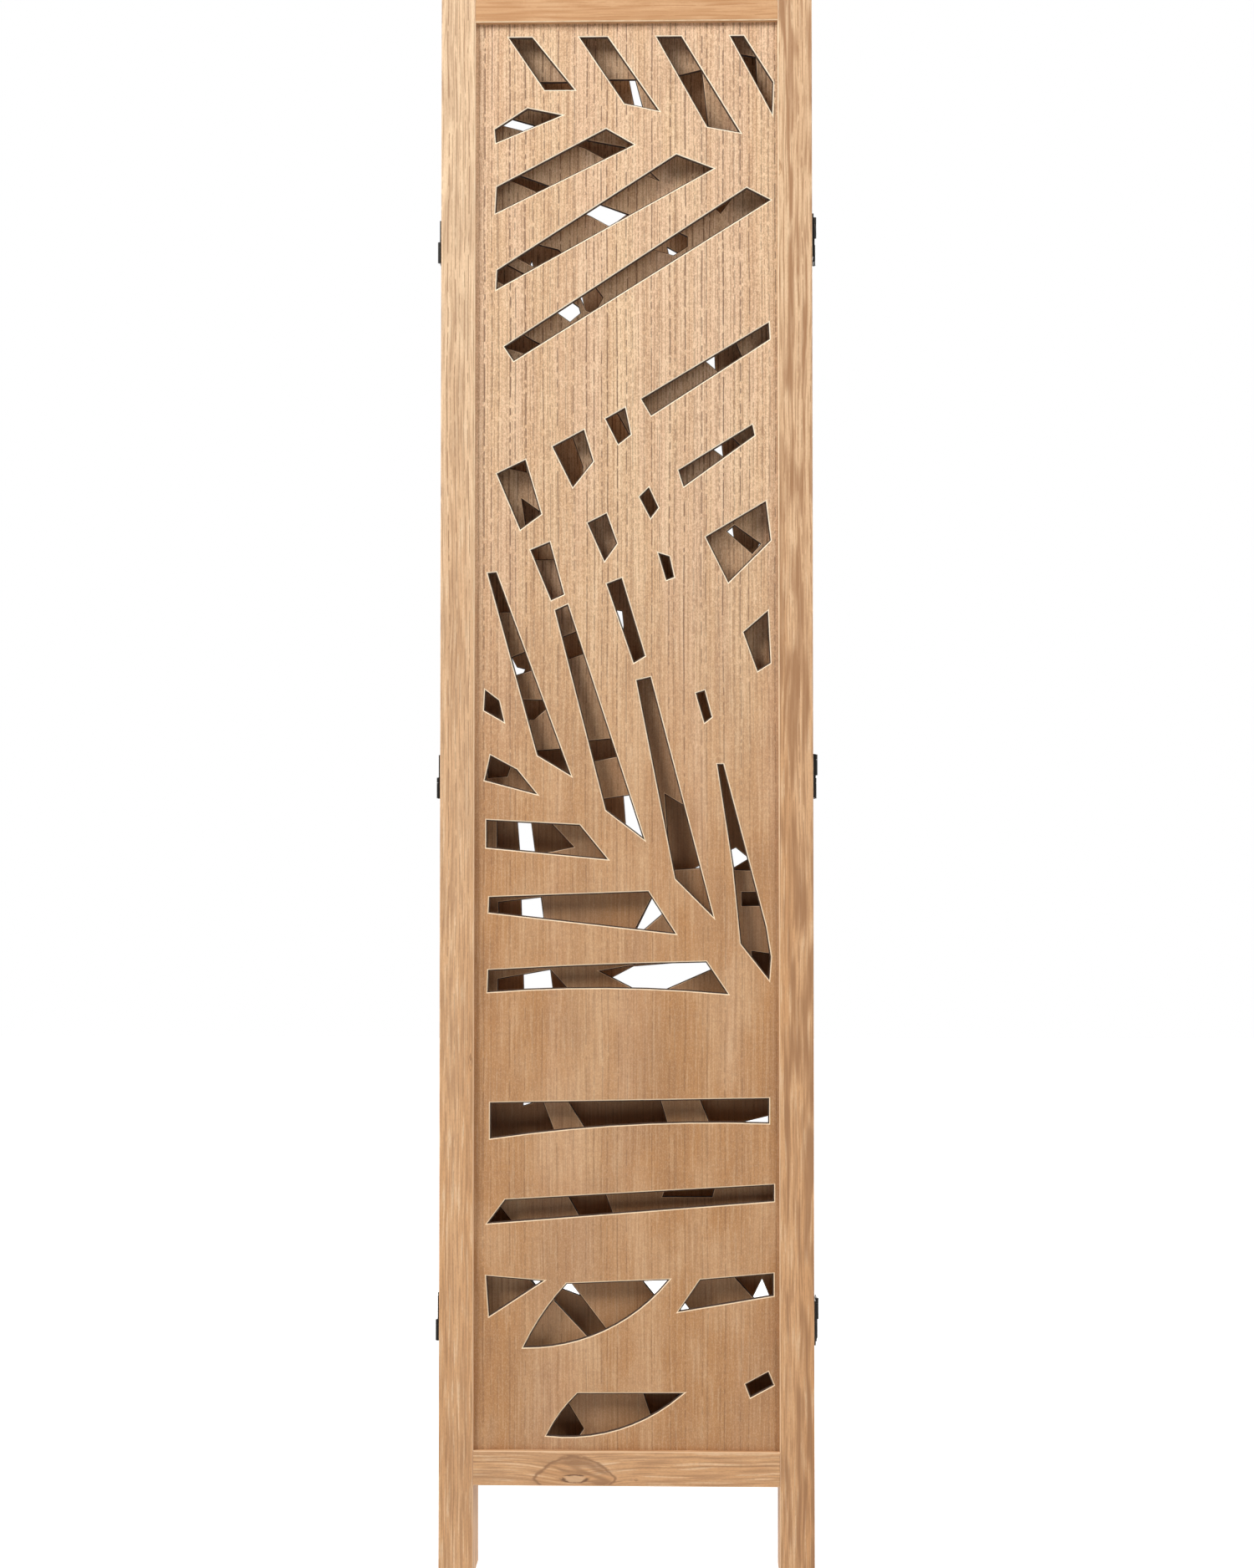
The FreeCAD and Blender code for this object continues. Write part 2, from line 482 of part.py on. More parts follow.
def add_slot(sketch, shares):
    """One slot outline: straight sides, and an arc through each "via" point."""
    low_z = size("leg_length") + size("rail_width")
    points = [slot_corner(share, low_z) for share in shares]
    arcs = [len(share) == 3 for share in shares]
    for here in range(len(points)):
        after = (here + 1) % len(points)
        if arcs[here]:
            bow = Part.Arc(points[here - 1], points[here], points[after])
            sketch.addGeometry(bow, False)
        elif not arcs[after]:
            sketch.addGeometry(Part.LineSegment(points[here], points[after]), False)


def make_infill(leaf):
    """The thin pierced board that sits in the grooves."""
    body = new_body(f"{leaf}_infill")
    board = new_sketch(body, "XZ_Plane", "board_outline")
    add_rectangle(
        board,
        f"-({OPENING_WIDTH} / 2 + {INFILL_GRIP})",
        f"{OPENING_LOW} - {INFILL_GRIP}",
        f"{OPENING_WIDTH} + 2 * {INFILL_GRIP}",
        f"{OPENING_HIGH} - {OPENING_LOW} + 2 * {INFILL_GRIP}",
    )
    for shares in LEAVES[leaf]["slots"]:
        add_slot(board, shares)
    add_pad(body, board, "pierced_board", "Sizes.infill_thickness", both_ways=True)
    put(body, y=leaf_y(leaf))
    return body


def make_box(x, y, z, length, width, height):
    box = document.addObject("Part::Box", "box")
    bind(box, Length=length, Width=width, Height=height)
    return put(box, x, y, z)


def make_cylinder(radius, height, x="0", y="0", z="0", turn=None):
    cylinder = document.addObject("Part::Cylinder", "cylinder")
    bind(cylinder, Radius=radius, Height=height)
    return put(cylinder, x, y, z, turn)


def join(pieces):
    joined = document.addObject("Part::MultiFuse", "joined")
    joined.Shapes = pieces
    joined.Refine = True
    return joined


def cut(label, solid, tools):
    """The solid less its cutting tools, as a labelled sub-part."""
    result = document.addObject("Part::Cut", label)
    result.Base = solid
    result.Tool = join(tools) if len(tools) > 1 else tools[0]
    result.Label = label
    return result


def group(label, pieces):
    """Separate solids that are kept as one sub-part."""
    result = document.addObject("Part::Compound", label)
    result.Links = pieces
    result.Label = label
    return result


def seam_place(side, row, level):
    """A hinge's place: row is -1 for the pin plane nearer the seam's outer leaf."""
    heights = {
        "bottom": "Sizes.hinge_inset",
        "middle": "Sizes.leaf_height / 2",
        "top": "Sizes.leaf_height - Sizes.hinge_inset",
    }
    x = f"{side} * {PIN_X}"
    y = f"{side * row} * {PITCH} / 2"
    turn = None if side > 0 else (Vector(0, 0, 1), 180)
    return {"x": x, "y": y, "z": heights[level], "turn": turn}


def make_leaf_plate(label, foot, place):
    """The hinge plate on a leaf's edge, with its long knuckle round the pin.

    It is drawn with the pin on the Z axis, the leaf's edge at -X and the leaf
    towards -Y. foot is the height at which its half of the hinge starts.
    """
    back = f"-{PIN_OFFSET}"
    plate = make_box(
        back,
        f"-{PLATE_REACH}",
        "-Sizes.hinge_height / 2",
        "Sizes.plate_thickness",
        f"{PLATE_REACH} - {PLATE_START}",
        "Sizes.hinge_height",
    )
    tongue_reach = f"({PLATE_START} + Sizes.plate_thickness)"
    tongue = make_box(
        "-Sizes.knuckle_radius",
        f"-{tongue_reach}",
        foot,
        "Sizes.tongue_thickness",
        tongue_reach,
        KNUCKLE_LONG,
    )
    knuckle = make_cylinder("Sizes.knuckle_radius", KNUCKLE_LONG, z=foot)
    bore = make_cylinder(BORE_RADIUS, KNUCKLE_LONG, z=foot)
    return put(cut(label, join([plate, tongue, knuckle]), [bore]), **place)


def make_link(label, place):
    """The hinge's middle plate, with a short knuckle round each of the two pins.

    It is drawn midway between the pins, which stand at -Y in the upper half of
    the hinge and at +Y in the lower half.
    """
    plate = make_box(
        "-Sizes.plate_thickness / 2",
        f"-{PITCH} / 2 + {PLATE_START}",
        "-Sizes.hinge_height / 2",
        "Sizes.plate_thickness",
        f"{PITCH} - 2 * {PLATE_START}",
        "Sizes.hinge_height",
    )
    pieces = [plate]
    tools = []
    for pin_side, foot in ((-1, UPPER_FOOT), (1, LOWER_FOOT)):
        start = f"{foot} + {KNUCKLE_LONG} + Sizes.knuckle_gap"
        pin_y = f"{pin_side} * {PITCH} / 2"
        reach = f"({PLATE_START} + Sizes.plate_clearance)"
        low_y = pin_y if pin_side < 0 else f"{pin_y} - {reach}"
        tongue = make_box(
            "-Sizes.plate_thickness / 2",
            low_y,
            start,
            "Sizes.plate_thickness",
            reach,
            "Sizes.knuckle_short",
        )
        pieces.append(tongue)
        pieces.append(
            make_cylinder("Sizes.knuckle_radius", "Sizes.knuckle_short", y=pin_y, z=start)
        )
        tools.append(make_cylinder(BORE_RADIUS, "Sizes.knuckle_short", y=pin_y, z=start))
    return put(cut(label, join(pieces), tools), **place)


def make_pins(label, side, row):
    """The three pins on one of a seam's two hinge lines."""
    foot = UPPER_FOOT if row < 0 else LOWER_FOOT
    pins = []
    for level in LEVELS:
        place = seam_place(side, row, level)
        place["z"] = f"{place['z']} + {foot} - Sizes.pin_proud"
        place["turn"] = None
        length = f"{HALF_HEIGHT} + 2 * Sizes.pin_proud"
        pins.append(make_cylinder("Sizes.pin_radius", length, **place))
    return group(label, pins)


def make_leaf(leaf):
    """The five wooden pieces of one leaf."""
    return [
        make_stile(leaf, -1, "left_stile"),
        make_stile(leaf, 1, "right_stile"),
        make_rail(leaf, "top_rail"),
        make_rail(leaf, "bottom_rail"),
        make_infill(leaf),
    ]


def make_seam(name):
    """Three two-way hinges along one edge of the stack, with their pins."""
    side = SEAMS[name]["side"]
    outer = SEAMS[name]["outer_leaf"]
    made = []
    for level in LEVELS:
        made.append(
            make_leaf_plate(
                f"{outer}_{name}_{level}_plate", UPPER_FOOT, seam_place(side, -1, level)
            )
        )
        made.append(
            make_leaf_plate(
                f"leaf_2_{name}_{level}_plate", LOWER_FOOT, seam_place(side, 1, level)
            )
        )
        made.append(make_link(f"{name}_{level}_link", seam_place(side, 0, level)))
    made.append(make_pins(f"{name}_outer_pins", side, -1))
    made.append(make_pins(f"{name}_inner_pins", side, 1))
    return made


def check_document(subparts):
    """Stop if any object failed or any sub-part's shape is unsound."""
    for thing in document.Objects:
        if {"Invalid", "Error"} & set(thing.State):
            raise RuntimeError(f"{thing.Label} is {thing.State}")
    for subpart in subparts:
        shape = subpart.Shape
        if shape.isNull() or not shape.isValid() or not shape.Solids:
            raise RuntimeError(f"{subpart.Label} has an unsound shape")


def main():
    subparts = []
    for leaf in LEAVES:
        subparts += make_leaf(leaf)
    for name in SEAMS:
        subparts += make_seam(name)
    document.recompute()
    check_document(subparts)
    for subpart in subparts:
        subpart.Shape.exportStep(f"parts/{subpart.Label}.step")
        print(subpart.Label, len(subpart.Shape.Solids), round(subpart.Shape.Volume, 1))


main()
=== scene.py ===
# %% [markdown]
# # A folding room divider
# Three wooden leaves stand folded into one flat stack. Each leaf is a frame of
# plain sticks round a thin board that is cut right through in the shape of
# palm fronds. Blackened hinges with two pins each join the leaves in a zigzag.
#
# The joiner's solids are already made. This lesson gives them their wood and
# metal, adds the screws, and sets up the studio.

# %% Load the solids
import math

import bpy
from mathutils import Matrix, Vector


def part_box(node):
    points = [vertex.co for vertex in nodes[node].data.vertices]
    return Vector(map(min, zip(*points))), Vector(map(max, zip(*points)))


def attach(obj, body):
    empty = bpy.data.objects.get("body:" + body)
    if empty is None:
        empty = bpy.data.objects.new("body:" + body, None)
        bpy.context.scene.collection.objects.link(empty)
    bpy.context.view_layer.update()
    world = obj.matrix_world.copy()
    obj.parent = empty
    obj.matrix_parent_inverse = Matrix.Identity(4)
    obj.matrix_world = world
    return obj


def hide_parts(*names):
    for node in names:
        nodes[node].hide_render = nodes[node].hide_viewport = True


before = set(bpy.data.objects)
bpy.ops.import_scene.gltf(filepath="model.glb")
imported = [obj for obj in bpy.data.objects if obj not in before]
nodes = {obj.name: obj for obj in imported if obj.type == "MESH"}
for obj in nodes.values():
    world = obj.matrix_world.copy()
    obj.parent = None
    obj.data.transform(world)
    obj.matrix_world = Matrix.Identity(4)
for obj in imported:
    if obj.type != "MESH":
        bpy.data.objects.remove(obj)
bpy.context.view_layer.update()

# %% [markdown]
# ## Writing shader maths
# A wood pattern is arithmetic on the place of a point. Adding Math nodes one by
# one hides that arithmetic, so a small class wraps a socket and turns `a * b`
# into a Multiply node.

# %% Arithmetic on sockets


class Value:
    """A number that varies over a surface."""

    def __init__(self, tree, socket):
        self.tree = tree
        self.socket = socket

    def math(self, operation, *others):
        step = self.tree.nodes.new("ShaderNodeMath")
        step.operation = operation
        for slot, item in zip(step.inputs, (self, *others)):
            if isinstance(item, Value):
                self.tree.links.new(item.socket, slot)
            else:
                slot.default_value = item
        return Value(self.tree, step.outputs[0])

    def __add__(self, other):
        return self.math("ADD", other)

    def __sub__(self, other):
        return self.math("SUBTRACT", other)

    def __mul__(self, other):
        return self.math("MULTIPLY", other)

    def __rsub__(self, other):
        return (self * -1.0) + other

    __radd__ = __add__
    __rmul__ = __mul__

    def clamped(self):
        return self.math("MINIMUM", 1.0).math("MAXIMUM", 0.0)

    def between(self, low, high):
        """0 below low, 1 above high, and a smooth rise between them."""
        rise = ((self - low) * (1.0 / (high - low))).clamped()
        return rise * rise * (3.0 - 2.0 * rise)

    def near(self, middle, width):
        """1 at the middle value, falling to 0 at a width to either side of it."""
        return 1.0 - (self - middle).math("ABSOLUTE").between(0.0, width)


print("a socket can now be added, subtracted and multiplied")

# %% [markdown]
# A second class keeps one material. What is the same all over a surface is set
# on the shader itself, and what changes over it is fed in by a link. One method
# adds every other kind of node, and colours are mixed by a Mix node.

# %% One material

# Where a Mix node keeps its factor and two colours, and its mixed colour.
MIX_INPUTS = (0, 6, 7)
MIX_OUTPUT = 2


class Finish:
    """One material, with its shader's constants set on the shader itself."""

    def __init__(self, name, **constants):
        self.material = bpy.data.materials.new(name)
        self.material.use_nodes = True
        self.tree = self.material.node_tree
        self.shader = self.tree.nodes["Principled BSDF"]
        for socket, value in constants.items():
            self.shader.inputs[socket.replace("_", " ")].default_value = value

    def node(self, kind, settings=None, **inputs):
        """Add a node, set its settings first and then its sockets."""
        made = self.tree.nodes.new(kind)
        for name, value in (settings or {}).items():
            setattr(made, name, value)
        for name, value in inputs.items():
            slot = made.inputs[name.replace("_", " ")]
            if isinstance(value, Value):
                self.tree.links.new(value.socket, slot)
            else:
                slot.default_value = value
        return made

    def value(self, made, output=0):
        """A node's output, ready for arithmetic."""
        return Value(self.tree, made.outputs[output])

    def place(self):
        """Where a point is on the object, in metres, as x, y and z."""
        where = self.node("ShaderNodeTexCoord")
        split = self.node("ShaderNodeSeparateXYZ", Vector=self.value(where, "Object"))
        return [self.value(split, axis) for axis in range(3)]

    def vector(self, x, y, z):
        """Three values joined into one place to read a pattern at."""
        return self.value(self.node("ShaderNodeCombineXYZ", X=x, Y=y, Z=z))

    def noise(self, vector, detail=2.0):
        """Soft noise, read at a vector that is already scaled."""
        made = self.node("ShaderNodeTexNoise", Vector=vector, Scale=1.0, Detail=detail)
        return self.value(made, "Fac")

    def blend(self, share, first, second):
        """Mix two colours, each a constant or a socket."""
        made = self.node("ShaderNodeMix", {"data_type": "RGBA"})
        for slot, item in zip(MIX_INPUTS, (share, first, second)):
            if isinstance(item, Value):
                self.tree.links.new(item.socket, made.inputs[slot])
            else:
                made.inputs[slot].default_value = item
        return self.value(made, MIX_OUTPUT)

    def feed(self, socket, value):
        """Link a value to one of the shader's sockets."""
        self.tree.links.new(value.socket, self.shader.inputs[socket])

    def bump(self, height, strength, depth):
        """Raise and sink the surface by up to a depth in metres."""
        made = self.node("ShaderNodeBump", Height=height, Strength=strength, Distance=depth)
        self.feed("Normal", self.value(made))


def paint(finish, names):
    """Give solids a finish through their material slots."""
    for name in names:
        mesh = nodes[name].data
        mesh.materials.clear()
        mesh.materials.append(finish.material)
    print(finish.material.name, "on", len(names), "solids")


# %% [markdown]
# ## Solid wood for the frames
# The sticks are straight-grained, the colour of honey. Seen close, such wood is
# a pale ground with soft bands, wandering darker lines along the grain, and
# short open pores. All of these are noise stretched by different amounts along
# the stick. Reading the place of the point keeps the grain at true size and
# lets it run on round every corner, as it does in a real stick. The colours are
# written as amounts of light, where one half already looks pale.

# %% Stretched grain


def grain_axes(finish, along, shift):
    """The place of a point as (across, depth, along) for one direction of grain."""
    x, y, z = finish.place()
    if along == "z":
        return x + shift, y, z
    return z + shift, y, x


def streaks(finish, across, depth, length, fine, stretch, detail=2.0):
    """Noise drawn out along the grain, with fine changes a metre across it."""
    return finish.noise(
        finish.vector(across * fine, depth * fine, length * (fine / stretch)),
        detail=detail,
    )


IVORY = (0.980, 0.860, 0.660, 1.0)
CREAM = (0.900, 0.700, 0.470, 1.0)
ROSE = (0.700, 0.440, 0.300, 1.0)
PALE = (0.740, 0.490, 0.290, 1.0)
HONEY = (0.640, 0.385, 0.205, 1.0)
RUSSET = (0.560, 0.310, 0.155, 1.0)
AMBER = (0.600, 0.290, 0.105, 1.0)
CARAMEL = (0.510, 0.240, 0.085, 1.0)
EARTH = (0.450, 0.218, 0.080, 1.0)
BROWN = (0.280, 0.140, 0.065, 1.0)
PORE = (0.120, 0.055, 0.028, 1.0)
print("eleven wood colours, from", IVORY[:3], "to", PORE[:3])

# %% [markdown]
# The vessels of such wood show as dark dashes that follow one another in
# columns. The surface is divided into narrow columns, a number drawn by lot
# says where in its column each line runs and how dark it is, and a noise along
# the grain breaks the line into dashes. The wandering lines of flat-cut wood
# are drawn where a long noise passes its middle value.

# %% Grain lines


def lot(finish, number, seed):
    """A number from 0 to 1, drawn by lot for each whole number."""
    made = finish.node(
        "ShaderNodeTexWhiteNoise",
        {"noise_dimensions": "2D"},
        Vector=finish.vector(number, seed, 0.0),
    )
    return finish.value(made, "Value")


def dash_columns(finish, across, length, spacing, width, dash, seed):
    """Dark dashes along the grain, in columns about spacing apart."""
    place = across * (1.0 / spacing) + seed
    column = place.math("FLOOR")
    course = place.math("FRACT") - lot(finish, column, seed) * 0.6 - 0.2
    breaks = finish.noise(
        finish.vector(column * 3.7, seed, length * (1.0 / dash)), detail=1.0
    )
    darkness = 0.45 + lot(finish, column, seed + 5.0) * 0.55
    return course.near(0.0, width / spacing) * breaks.between(0.38, 0.50) * darkness


def wandering_lines(finish, bent, depth, length, spacing, stretch, width):
    """Thin lines that wander along the grain, about spacing apart."""
    course = streaks(finish, bent, depth, length, 0.5 / spacing, stretch, detail=1.0)
    fading = finish.noise(finish.vector(bent * 90.0, depth * 90.0, length * 14.0), detail=1.0)
    return course.near(0.5, width) * fading.between(0.35, 0.60)


def knot_lift(finish, across, length, knots):
    """How far the grain lines are pushed aside round each knot."""
    lift = None
    for at_across, at_length, half_width, half_length, push in knots:
        u = (across - at_across) * (1.0 / half_width)
        v = (length - at_length) * (1.0 / half_length)
        bulge = (u * u + v * v).math("MULTIPLY", -1.0).math("EXPONENT") * push
        lift = bulge if lift is None else lift + bulge
    return lift


def knot_hearts(finish, colour, across, length, knots):
    """Draw each knot: an eye with pointed ends, tongues of dark wood and a core."""
    for at_across, at_length, half_width, half_length, push in knots:
        u = (across - at_across) * (1.0 / half_width)
        v = (length - at_length) * (1.0 / half_length)
        ragged = finish.noise(finish.vector(u * 5.0, push * 900.0, v * 4.0), detail=3.0)
        reach = u.math("ABSOLUTE") + v * v + (ragged - 0.5) * 0.35
        inside = 1.0 - reach.between(0.80, 1.02)
        tongues = finish.noise(finish.vector(u * 2.4 + v * 1.1, push * 500.0, v * 0.9), detail=1.0)
        colour = finish.blend(inside * 0.22, colour, CARAMEL)
        colour = finish.blend(inside * tongues.between(0.44, 0.56) * 0.75, colour, BROWN)
        colour = finish.blend(reach.near(1.0, 0.15) * 0.90, colour, BROWN)
        core = (u * u * 30.0 + v * v * 11.0).math("SQRT") + (ragged - 0.5) * 0.9
        colour = finish.blend((1.0 - core.between(0.70, 0.95)) * 0.50, colour, PALE)
        rim = core.near(1.0, 0.30) * ragged.between(0.40, 0.52)
        colour = finish.blend(rim * 0.90, colour, PORE)
    return colour


def stick_wood(name, along, shift, knots, warmth, streaky):
    """Solid wood whose grain runs along the given axis."""
    finish = Finish(name, IOR=1.45, Coat_Weight=0.06, Coat_Roughness=0.4)
    across, depth, length = grain_axes(finish, along, shift)
    height = finish.place()[2]
    drift = finish.noise(finish.vector(across * 16.0, depth * 16.0, length * 5.0), detail=2.0)
    bent = across + (drift - 0.5) * 0.010
    if knots:
        bent = bent + knot_lift(finish, across - shift, length, knots)
    bands = streaks(finish, bent, depth, length, fine=60.0, stretch=40.0)
    broad = streaks(finish, bent, depth, length, fine=34.0, stretch=34.0, detail=1.0)
    fine = streaks(finish, bent, depth, length, fine=480.0, stretch=26.0)
    face = bent + depth
    dashes = dash_columns(finish, face, length, spacing=0.0048, width=0.0009, dash=0.016, seed=1.3)
    lines = wandering_lines(finish, bent, depth, length, spacing=0.0044, stretch=34.0, width=0.15)
    flecks = finish.noise(finish.vector(across * 700.0, depth * 700.0, length * 300.0))
    upper = height.between(0.35, 1.20)
    colour = finish.blend(bands.between(0.36, 0.64) * 0.50, PALE, HONEY)
    colour = finish.blend(broad.between(0.46, 0.60) * (0.20 + streaky * 0.20), colour, CARAMEL)
    # Painted light: the stick is painted darker and warmer towards the foot and paler towards the
    # top, as if lit more from above.
    colour = finish.blend((1.0 - upper) * 0.50, colour, AMBER)
    colour = finish.blend(height.between(0.95, 1.45) * 0.36, colour, CREAM)
    colour = finish.blend(fine.between(0.50, 0.66) * (0.36 + streaky * 0.24), colour, BROWN)
    colour = finish.blend(fine.near(0.34, 0.12) * 0.45, colour, CREAM)
    colour = finish.blend(lines * (0.12 + streaky * 0.80), colour, BROWN)
    colour = finish.blend(dashes * (0.40 + upper * 0.50), colour, BROWN)
    colour = finish.blend(flecks.between(0.40, 0.75) * 0.20, colour, BROWN)
    if knots:
        colour = knot_hearts(finish, colour, across - shift, length, knots)
    colour = finish.blend(warmth, colour, CARAMEL)
    finish.feed("Base Color", colour)
    finish.feed("Roughness", 0.50 + flecks * 0.16 + dashes * 0.10)
    finish.bump(1.0 - dashes * 0.6 - lines * 0.4 + flecks * 0.2, 0.35, 0.0004)
    return finish


# %% [markdown]
# Every stick comes from its own plank, so each leaf's stiles and rails read
# the same pattern at a different place. The front leaf's bottom rail keeps the
# eye-shaped figure round a small knot, and its right stile is the streaky one.

# %% Paint the frames

# Each knot has its place across and along the grain, its half width and half
# length, and how far it pushes the grain lines aside, all in metres.
BOTTOM_RAIL_KNOTS = [
    (0.1050, -0.055, 0.0230, 0.044, 0.009),
    (0.1040, 0.0105, 0.0012, 0.0024, 0.001),
]
RIGHT_STILE_KNOTS = [(0.1645, 1.508, 0.0025, 0.009, 0.003)]
LEFT_STILE_KNOTS = [(-0.1665, 0.546, 0.0020, 0.010, 0.003)]

# Each stick has the axis of its grain, the place it is read from in its plank,
# its knots, and two shares: how warm and how streaky it is.
LEAF_SHIFT = 0.37
STICKS = {
    "left_stile": ("z", 0.00, LEFT_STILE_KNOTS, 0.0, 0.25),
    "right_stile": ("z", 0.41, RIGHT_STILE_KNOTS, 0.22, 1.00),
    "top_rail": ("x", 0.83, (), 0.66, 0.7),
    "bottom_rail": ("x", 1.29, BOTTOM_RAIL_KNOTS, 0.0, 0.25),
}
sticks = {}
for number in (1, 2, 3):
    for stick, (along, shift, knots, warmth, streaky) in STICKS.items():
        wood = stick_wood(
            f"{stick}_wood_{number}",
            along,
            shift + LEAF_SHIFT * (number - 1),
            knots if number == 1 else (),
            warmth,
            streaky,
        )
        sticks[f"leaf_{number}_{stick}"] = wood
        paint(wood, [f"leaf_{number}_{stick}"])

# %% [markdown]
# ## Veneer for the pierced boards
# The boards are thin plywood faced with sliced veneer. Its grain is busier than
# the sticks': long columns of dark pore dashes, fainter towards the foot, a
# ripple across the grain, broad bands that drift in tone from side to side, and
# soft patches low down. Painted light makes each board darker towards the foot
# and paler towards the top, and painted shade darkens the boards behind the
# front one.

# %% Veneer


def veneer(name, shift, shade):
    """Sliced veneer with upright grain."""
    finish = Finish(name, IOR=1.45, Coat_Weight=0.04, Coat_Roughness=0.45)
    across, depth, length = grain_axes(finish, "z", shift)
    drift = finish.noise(finish.vector(across * 12.0, depth * 3.0, length * 2.5), detail=2.0)
    wobble = finish.noise(finish.vector(across * 60.0, depth * 3.0, length * 90.0))
    bent = across + (drift - 0.5) * 0.008 + (wobble - 0.5) * 0.0008
    tone = streaks(finish, bent, depth, length, fine=16.0, stretch=14.0)
    blush = streaks(finish, bent + 0.9, depth, length, fine=22.0, stretch=10.0)
    bands = streaks(finish, bent, depth, length, fine=70.0, stretch=40.0)
    fine = streaks(finish, bent, depth, length, fine=520.0, stretch=30.0)
    dashes = dash_columns(finish, bent, length, spacing=0.0090, width=0.0012, dash=0.008, seed=2.6)
    short_dashes = dash_columns(
        finish, bent, length, spacing=0.0041, width=0.0009, dash=0.006, seed=4.1
    )
    ripple = finish.noise(finish.vector(across * 60.0, depth * 60.0, length * 320.0))
    flecks = finish.noise(finish.vector(across * 900.0, depth * 900.0, length * 620.0))
    patches = finish.noise(
        finish.vector(across * 15.0, depth * 3.0, length * 7.0 + 5.1), detail=3.0
    )
    upper = length.between(0.70, 1.25)
    lower = 1.0 - upper
    colour = finish.blend(tone.between(0.38, 0.62) * 0.70, PALE, HONEY)
    colour = finish.blend(blush.between(0.46, 0.60) * 0.45, colour, ROSE)
    colour = finish.blend(bands.between(0.44, 0.62) * 0.55, colour, RUSSET)
    # Painted light: the board is painted darker towards the foot, as if less light reaches low
    # down.
    colour = finish.blend(lower * (0.66 + tone.between(0.40, 0.60) * 0.28), colour, EARTH)
    colour = finish.blend(lower * patches.between(0.48, 0.64) * 0.26, colour, BROWN)
    colour = finish.blend(lower * (1.0 - patches.between(0.36, 0.52)) * 0.26, colour, PALE)
    # Painted light: the board is painted paler towards the top, as if lit more from above.
    colour = finish.blend(upper * 0.14, colour, CREAM)
    colour = finish.blend(fine.between(0.50, 0.68) * (0.28 + upper * 0.04), colour, BROWN)
    colour = finish.blend(fine.near(0.34, 0.12) * (0.14 + upper * 0.20), colour, CREAM)
    colour = finish.blend(ripple.between(0.50, 0.75) * 0.16, colour, BROWN)
    colour = finish.blend(flecks.near(0.64, 0.12) * (0.14 + upper * 0.26), colour, CREAM)
    colour = finish.blend(flecks.near(0.36, 0.12) * (0.16 + upper * 0.24), colour, BROWN)
    colour = finish.blend(short_dashes * (0.26 + upper * 0.54), colour, BROWN)
    colour = finish.blend(dashes * (0.34 + upper * 0.62).clamped(), colour, PORE)
    # Painted shade: the boards behind the front one are darkened towards brown, standing in for
    # the shade between the folded leaves.
    colour = finish.blend(shade, colour, BROWN)
    finish.feed("Base Color", colour)
    finish.feed("Roughness", 0.54 + flecks * 0.16 + dashes * 0.10)
    finish.bump(1.0 - dashes * 0.8 - short_dashes * 0.4 + flecks * 0.2, 0.35, 0.0003)
    return finish


# How much painted shade each board gets: none on the front board, more on each board behind it.
BOARD_PAINTED_SHADE = {1: 0.0, 2: 0.20, 3: 0.32}
BOARD_SHIFT = 0.53
boards = {}
for number, shade in BOARD_PAINTED_SHADE.items():
    board = f"leaf_{number}_infill"
    boards[board] = veneer(f"veneer_{number}", BOARD_SHIFT * (number - 1), shade)
    paint(boards[board], [board])

# %% [markdown]
# ## Eased edges
# A joiner takes the sharp edge off every stick and off every cut in the board
# with a touch of sandpaper. Those narrow slopes catch the light as thin pale
# lines, and they are what makes the fronds look crisp. The solids have none,
# so each wooden piece is copied, its loose triangles are merged and dissolved
# into whole faces, and the edges between its broad faces and its sides are
# bevelled. The copy then stands for the solid. First it needs two finishes:
# bare wood for the sanded slope, painted paler as a highlight and paler towards
# the top as painted light, and the scorched plies of the board's cuts.

# %% Sanded edge with a painted highlight, and scorched core


def sanded_edge_painted_highlight(name, low, high, share):
    """Bare wood where sanding has cut through the surface tone, plus a painted highlight that is
    paler higher up.
    """
    finish = Finish(name, IOR=1.45)
    x, y, z = finish.place()
    wear = finish.noise(finish.vector(x * 120.0, y * 120.0, z * 60.0), detail=3.0)
    # Painted light: the edge runs from the low colour to the high one going up, paler at the top
    # as if lit more from above.
    colour = finish.blend(z.between(0.45, 1.25), low, high)
    finish.feed("Base Color", finish.blend(wear.between(0.35, 0.70) * share, colour, PALE))
    finish.feed("Roughness", 0.55 + wear * 0.15)
    return finish


PLY = 0.001
CHAR = (0.018, 0.010, 0.007, 1.0)
SCORCH = (0.070, 0.034, 0.018, 1.0)


def scorched_core(name, middle):
    """The cut edge of five thin plies, browned by the beam that cut it."""
    finish = Finish(name, IOR=1.45)
    x, y, z = finish.place()
    ragged = finish.noise(finish.vector(x * 300.0, y * 300.0, z * 300.0), detail=2.0)
    turn = (y - middle) * (math.pi / PLY) + ragged * 0.8
    cross_ply = turn.math("COSINE").between(-0.3, 0.3)
    colour = finish.blend(cross_ply, SCORCH, CHAR)
    colour = finish.blend(ragged.between(0.45, 0.70) * 0.5, colour, CHAR)
    finish.feed("Base Color", colour)
    finish.feed("Roughness", 0.65 + ragged * 0.2)
    finish.bump(ragged, 0.3, 0.0003)
    return finish


# %% [markdown]
# A copy of a solid still has its loose triangles. Merging the points that lie
# together closes it, and dissolving flat edges turns the triangles into whole
# faces, so that a bevel meets only the edges that a joiner would feel.

# %% Copy and merge
MERGE_DISTANCE = 0.000005
FLAT_ANGLE = math.radians(0.5)


def clear_selection():
    """Deselect everything, because an operator acts on all that is selected."""
    for thing in bpy.context.selected_objects:
        thing.select_set(False)


